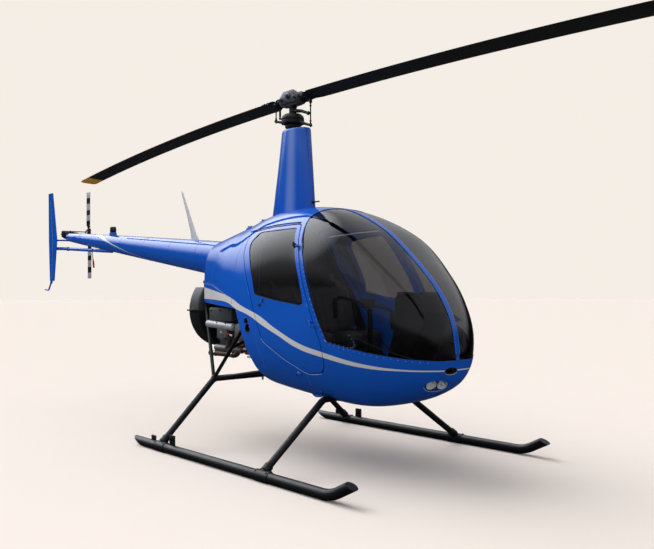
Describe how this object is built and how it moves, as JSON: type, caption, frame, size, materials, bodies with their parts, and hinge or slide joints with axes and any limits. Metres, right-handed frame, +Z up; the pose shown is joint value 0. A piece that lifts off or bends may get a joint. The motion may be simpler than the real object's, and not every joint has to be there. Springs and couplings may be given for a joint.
{
  "type": "helicopter",
  "caption": "Light two-seat piston helicopter on skids with a teetering main rotor, a tail rotor, hinged cabin doors and a hollow glazed cabin.",
  "frame": {"origin": "on the ground under the middle of the overall length with the main blades fore and aft", "axes": "+Z up; the nose points to -Y; +X to the port side; the skids stand on Z = 0"},
  "size_m": [1.968, 8.4186, 2.8],
  "materials": {
    "blue_paint": "glossy blue aircraft paint",
    "black_paint": "satin black paint",
    "white_paint": "gloss white paint",
    "bare_steel": "bare machined steel",
    "hot_steel": "heat-browned exhaust steel",
    "cabin_trim": "dark grey cabin trim",
    "seat_cloth": "dark woven seat cloth",
    "tinted_glass": "clear acrylic with a smoke tint"
  },
  "bodies": {
    "airframe": {"cabin_shell": "blue_paint", "windshield_right": "tinted_glass", "windshield_left": "tinted_glass", "firewall": "cabin_trim", "cabin_floor": "cabin_trim", "seat_box": "cabin_trim", "seat_right": "seat_cloth", "seat_left": "seat_cloth", "instrument_pod": "black_paint", "cyclic_stick": "black_paint", "pedals": "black_paint", "collective_levers": "black_paint", "upper_cowling": "blue_paint", "mast_fairing": "blue_paint", "tail_cone": "blue_paint", "tail_gearbox": "black_paint", "stabiliser": "blue_paint", "upper_fin": "blue_paint", "lower_fin": "blue_paint", "tail_skid": "black_paint", "tail_guard": "blue_paint", "whip_antenna": "white_paint", "beacon": "black_paint", "swashplate_lower": "black_paint", "engine": "bare_steel", "fan_scroll": "black_paint", "fan_wheel": "bare_steel", "exhaust": "hot_steel", "engine_frame_right": "black_paint", "engine_frame_left": "black_paint", "cross_tube_front": "black_paint", "cross_tube_rear": "black_paint", "skid_right": "black_paint", "skid_left": "black_paint"},
    "main_rotor": {"rotor_shaft": "bare_steel", "rotor_hub": "bare_steel", "main_blade_aft": "black_paint", "main_blade_forward": "black_paint", "swashplate_upper": "black_paint", "pitch_link_aft": "black_paint", "pitch_link_forward": "black_paint"},
    "tail_rotor": {"tail_rotor_hub": "bare_steel", "tail_blade_upper": "black_paint", "tail_blade_lower": "black_paint"},
    "door_right": {"door_right": "blue_paint", "door_window_right": "tinted_glass"},
    "door_left": {"door_left": "blue_paint", "door_window_left": "tinted_glass"}
  },
  "joints": [
    {"name": "main_rotor_spin", "type": "hinge", "parent": "airframe", "child": "main_rotor", "pos_m": [0, -0.372, 2.5], "axis": [0, 0, 1], "continuous": true},
    {"name": "tail_rotor_spin", "type": "hinge", "parent": "airframe", "child": "tail_rotor", "pos_m": [0.292, 3.96, 1.88], "axis": [1, 0, 0], "continuous": true},
    {"name": "door_right_swing", "type": "hinge", "parent": "airframe", "child": "door_right", "pos_m": [-0.539, -1.041, 1.514], "axis": [0.1271, 0.4252, 0.8961], "range_deg": [0, 80]},
    {"name": "door_left_swing", "type": "hinge", "parent": "airframe", "child": "door_left", "pos_m": [0.539, -1.041, 1.514], "axis": [0.1271, -0.4252, -0.8961], "range_deg": [0, 80]}
  ]
}
